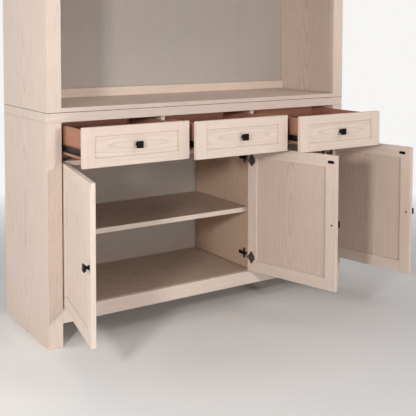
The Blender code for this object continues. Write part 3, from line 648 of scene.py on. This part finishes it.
def screw_mesh():
    """Low domed head with a cross recess, its seat at z = 0."""
    profile = [(radius * SCREW_RADIUS, height * SCREW_HEIGHT)
               for radius, height in SCREW_OUTLINE]
    head = new_object("screw_head", lathe("screw_head", profile, SCREW_SIDES))
    a, w = CROSS_REACH, CROSS_HALF_WIDTH
    cross = [(w, w), (w, a), (-w, a), (-w, w), (-a, w), (-a, -w), (-w, -w), (-w, -a), (w, -a),
             (w, -w), (a, -w), (a, w)]
    cutter = new_object("cross", extruded("cross", cross, SCREW_HEIGHT - CROSS_DEPTH,
                                          2 * SCREW_HEIGHT))
    recess = head.modifiers.new("recess", "BOOLEAN")
    recess.operation = "DIFFERENCE"
    recess.solver = "EXACT"
    recess.object = cutter
    bpy.context.view_layer.update()
    graph = bpy.context.evaluated_depsgraph_get()
    mesh = bpy.data.meshes.new_from_object(head.evaluated_get(graph))
    bpy.data.objects.remove(head, do_unlink=True)
    bpy.data.objects.remove(cutter, do_unlink=True)
    return mesh


def catch_mesh():
    """Plate with cut corners, its seat at z = 0."""
    x, y, cut = CATCH_WIDTH / 2, CATCH_HEIGHT / 2, CATCH_CUT
    outline = [(x - cut, y), (-x + cut, y), (-x, y - cut), (-x, -y + cut), (-x + cut, -y),
               (x - cut, -y), (x, -y + cut), (x, y - cut)]
    return extruded("catch_plate", outline, 0.0, CATCH_THICKNESS)


def fit_piece(name, mesh, body, place, outward, scale=1.0):
    """Seats a fitting at a place of the closed frame, with its z axis turned outward."""
    thing = new_object(name, mesh)
    turn = Vector(outward).to_track_quat("Z", "Y").to_matrix().to_4x4()
    closed = Matrix.Translation(place) @ turn @ Matrix.Scale(scale, 4)
    thing.matrix_world = to_closed(body).inverted() @ closed
    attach(thing, body)
    return thing


def fit_hinge_screws(screw, number, side, edge):
    for label in ("lower", "upper"):
        low, high = closed_box(f"door_{number}_hinge_arm_{label}")
        wing_x = low.x + WING_FACE if side > 0 else high.x - WING_FACE
        middle = (low.z + high.z) / 2
        for step, sign in (("low", -1), ("high", 1)):
            tail = f"{number}_{label}_{step}"
            wing = (wing_x, high.y - WING_FROM_REAR, middle + sign * WING_SCREW_OFFSET)
            fit_piece("plate_screw_" + tail, screw, "cabinet", wing, (side, 0, 0))
            ear = (edge + side * CUP_FROM_EDGE, FLANGE_FACE, middle + sign * CUP_SCREW_OFFSET)
            fit_piece("cup_screw_" + tail, screw, f"door_{number}", ear, INTO_CABINET)


def fit_door_back(screw, catch, number, side, free_edge):
    body = f"door_{number}"
    low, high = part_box(body + "_leaf")
    knob = (free_edge - side * KNOB_FROM_FREE_EDGE, DOOR_BACK,
            (low.z + high.z) / 2 - KNOB_BELOW_MIDDLE)
    fit_piece(f"knob_screw_{number}", screw, body, knob, INTO_CABINET, KNOB_SCREW_SCALE)
    catch_x = free_edge - side * CATCH_FROM_FREE_EDGE[number - 1]
    catch_z = high.z - CATCH_BELOW_TOP
    plate = fit_piece(f"catch_plate_{number}", catch, body, (catch_x, DOOR_BACK, catch_z),
                      INTO_CABINET)
    eased = plate.modifiers.new("eased edges", "BEVEL")
    eased.width = CATCH_BEVEL
    for label, offset in (("near", -CATCH_SCREW_OFFSET), ("far", CATCH_SCREW_OFFSET)):
        place = (catch_x + offset, DOOR_BACK + CATCH_THICKNESS, catch_z)
        fit_piece(f"catch_screw_{number}_{label}", screw, body, place, INTO_CABINET,
                  CATCH_SCREW_SCALE)


def fit_doors():
    screw = screw_mesh()
    screw.materials.append(metal("screw_look", "cabinet", "screw"))
    catch = catch_mesh()
    catch.materials.append(metal("catch_look", "cabinet", "catch"))
    for number, side in DOORS:
        left, right = front_edges(number)
        edge, free_edge = (left, right) if side > 0 else (right, left)
        fit_hinge_screws(screw, number, side, edge)
        fit_door_back(screw, catch, number, side, free_edge)


fit_doors()


# Floor

FLOOR_HALF = 9
CLOUDS = (1.3, 2.0, 0.55, 0.0)
CLOUD_SPAN = (0.3, 0.7)
FLOOR_ROUGHNESS = 0.8
LIT_FLOOR = (srgb(206, 205, 204), srgb(212, 211, 210))
SEEN_FLOOR = (srgb(232, 231, 230), srgb(237, 236, 235))
NO_COLOUR = (0.0, 0.0, 0.0, 1.0)

# The sky, and where the floor starts and ends to fade into it for the camera
SKY_COLOUR = (1.0, 0.995, 0.985, 1.0)
SKY_LEVEL = 0.92
FLOOR_CENTRE = (0.75, -0.2, 0.0)
FADE_START = 0.9
FADE_END = 3.0


def floor_colour(build, coordinates, camera_ray):
    """One pale grey as the floor lights the cabinet, and a paler one as the camera sees it."""
    tone = build.span(build.noise(coordinates, *CLOUDS), *CLOUD_SPAN)
    return build.mix(camera_ray, build.mix(tone, *LIT_FLOOR), build.mix(tone, *SEEN_FLOOR))


def build_floor():
    """Pale floor that fades into the sky's tone away from the cabinet, for the camera only."""
    half = FLOOR_HALF
    mesh = bpy.data.meshes.new("floor")
    mesh.from_pydata([(-half, -half, 0), (half, -half, 0), (half, half, 0), (-half, half, 0)],
                     [], [(0, 1, 2, 3)])
    build = Nodes("floor_look")
    coordinates = build.add("ShaderNodeTexCoord").outputs["Object"]
    camera_ray = build.add("ShaderNodeLightPath").outputs["Is Camera Ray"]
    colour = floor_colour(build, coordinates, camera_ray)
    away = build.add("ShaderNodeVectorMath", operation="DISTANCE")
    build.put(coordinates, away.inputs[0])
    build.put(FLOOR_CENTRE, away.inputs[1])
    far = build.span(away.outputs["Value"], FADE_START, FADE_END)
    far = build.times(build.times(far, far), camera_ray)
    build.shade("Base Color", build.mix(far, colour, NO_COLOUR))
    build.shade("Emission Color", SKY_COLOUR)
    build.shade("Emission Strength", build.times(far, SKY_LEVEL))
    build.shade("Roughness", FLOOR_ROUGHNESS)
    build.shade("Specular IOR Level", 0.0)
    mesh.materials.append(build.material)
    new_object("floor", mesh)


build_floor()


# Lights

# Each lamp's place, aim, width, height, power and colour. The front and left lamps are small
# and stand where the shadows in the photo come from.
SOFTBOXES = {
    "left_softbox": ((-1.73, -2.12, 1.34), (1.2, -0.5, 0.5), 0.30, 0.30, 37.0,
                     (1.0, 0.99, 0.97)),
    "side_softbox": ((-3.2, 0.3, 1.3), (0.0, -0.1, 0.6), 1.6, 1.6, 34.0, (1.0, 0.99, 0.98)),
    "front_softbox": ((0.74, -4.8, 1.36), (0.6, -0.3, 0.6), 0.30, 0.30, 60.0,
                      (1.0, 0.98, 0.96)),
    "top_softbox": ((2.5, -2.7, 3.4), (1.1, -0.2, 0.7), 2.2, 1.6, 28.0, (1.0, 0.98, 0.96)),
    "back_softbox": ((0.2, 4.6, 2.6), (0.75, 0.2, 0.9), 2.0, 2.0, 50.0, (1.0, 0.99, 0.98))}
WORLD_LIGHT = 0.28


def softbox(name, position, aim, width, height, power, colour):
    lamp = bpy.data.lights.new(name, "AREA")
    lamp.shape = "RECTANGLE"
    lamp.size = width
    lamp.size_y = height
    lamp.energy = power
    lamp.color = colour
    thing = new_object(name, lamp)
    thing.location = position
    toward = Vector(aim) - Vector(position)
    thing.rotation_euler = toward.to_track_quat("-Z", "Y").to_euler()


def build_world():
    """Even grey light, with a brighter sky where the camera or a clear view meets it."""
    world = bpy.data.worlds.new("studio")
    bpy.context.scene.world = world
    world.use_nodes = True
    tree = world.node_tree
    background = tree.nodes["Background"]
    background.inputs["Color"].default_value = SKY_COLOUR
    path = tree.nodes.new("ShaderNodeLightPath")
    total = path.outputs["Is Camera Ray"]
    for ray in ("Is Glossy Ray", "Is Transmission Ray"):
        either = tree.nodes.new("ShaderNodeMath")
        either.operation = "MAXIMUM"
        tree.links.new(total, either.inputs[0])
        tree.links.new(path.outputs[ray], either.inputs[1])
        total = either.outputs[0]
    level = tree.nodes.new("ShaderNodeMapRange")
    level.inputs["To Min"].default_value = WORLD_LIGHT
    level.inputs["To Max"].default_value = SKY_LEVEL
    tree.links.new(total, level.inputs["Value"])
    tree.links.new(level.outputs[0], background.inputs["Strength"])


for lamp_name, settings in SOFTBOXES.items():
    softbox(lamp_name, *settings)
build_world()


# Camera

CAMERA_PLACE = (-1.1666, -3.0704, 1.2227)
YAW, PITCH, ROLL = 0.5857, -0.0590, 0.0023
FOCAL_PX, CENTRE_X, CENTRE_Y = 797.12, 206.28, 79.34
PICTURE_SIZE = 416.0
SENSOR_WIDTH = 36.0
VIEW_END = 60.0


def build_camera():
    """The photograph's viewpoint: in front of the left end, a little above the base top."""
    forward = Vector((math.sin(YAW) * math.cos(PITCH), math.cos(YAW) * math.cos(PITCH),
                      math.sin(PITCH)))
    right = Vector((math.cos(YAW), -math.sin(YAW), 0.0))
    up = right.cross(forward)
    level_right = right * math.cos(ROLL) + up * math.sin(ROLL)
    level_up = up * math.cos(ROLL) - right * math.sin(ROLL)
    turn = Matrix((level_right, level_up, -forward)).transposed()
    data = bpy.data.cameras.new("photo_camera")
    data.sensor_width = SENSOR_WIDTH
    data.lens = FOCAL_PX / PICTURE_SIZE * SENSOR_WIDTH
    data.shift_x = (PICTURE_SIZE / 2 - CENTRE_X) / PICTURE_SIZE
    data.shift_y = (CENTRE_Y - PICTURE_SIZE / 2) / PICTURE_SIZE
    data.clip_end = VIEW_END
    camera = new_object("photo_camera", data)
    camera.matrix_world = Matrix.Translation(CAMERA_PLACE) @ turn.to_4x4()
    bpy.context.scene.camera = camera


build_camera()
bpy.context.scene.view_settings.view_transform = "Standard"
